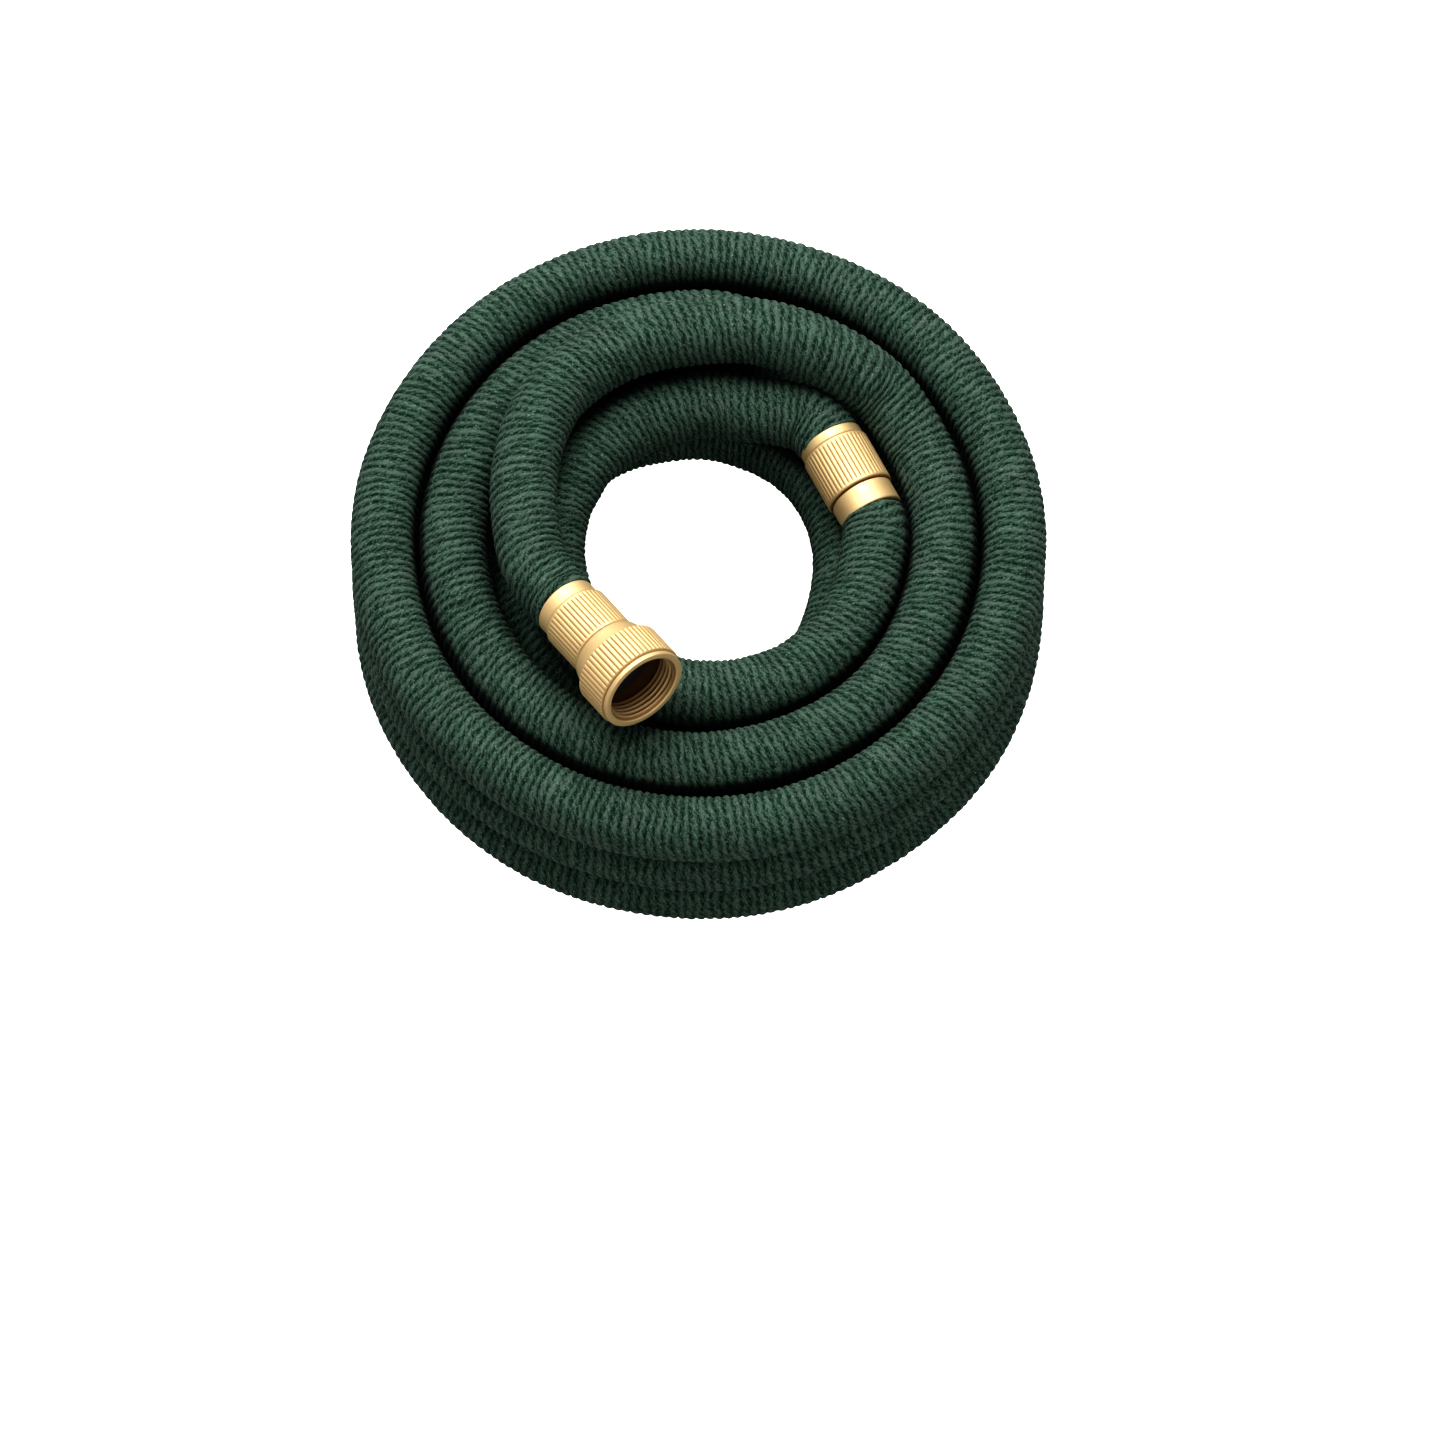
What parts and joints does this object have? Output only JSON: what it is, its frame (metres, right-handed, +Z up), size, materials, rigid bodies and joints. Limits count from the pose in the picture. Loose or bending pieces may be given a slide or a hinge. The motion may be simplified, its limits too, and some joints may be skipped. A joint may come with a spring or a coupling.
{
  "type": "garden hose",
  "caption": "Woven-jacket garden hose in a coil, with a swivel tap fitting, an inline joiner and an end fitting in brass.",
  "frame": {"origin": "middle of the coil, on the floor that it lies on", "axes": "+Z up, along the axis of the coil; +X to the right in the picture, +Y away from the camera"},
  "size_m": [0.2484, 0.2484, 0.1142],
  "materials": {
    "jacket": "woven, matt",
    "brass": "satin",
    "rubber": "matt"
  },
  "bodies": {
    "hose": {"hose_coil": "jacket", "hose_tap_run": "jacket", "hose_inner_far": "jacket", "hose_inner_near": "jacket", "hose_end_run": "jacket", "tap_sleeve": "brass", "tap_tail": "brass", "joiner_sleeve": "brass", "joiner_ferrule": "brass", "end_sleeve": "brass", "end_nipple": "brass"},
    "nut": {"tap_nut": "brass", "tap_washer": "rubber"}
  },
  "joints": [
    {"name": "nut_spin", "type": "hinge", "parent": "hose", "child": "nut", "pos_m": [-0.0323, -0.05757, 0.09311], "axis": [0.579, -0.786, 0.217], "continuous": true}
  ]
}
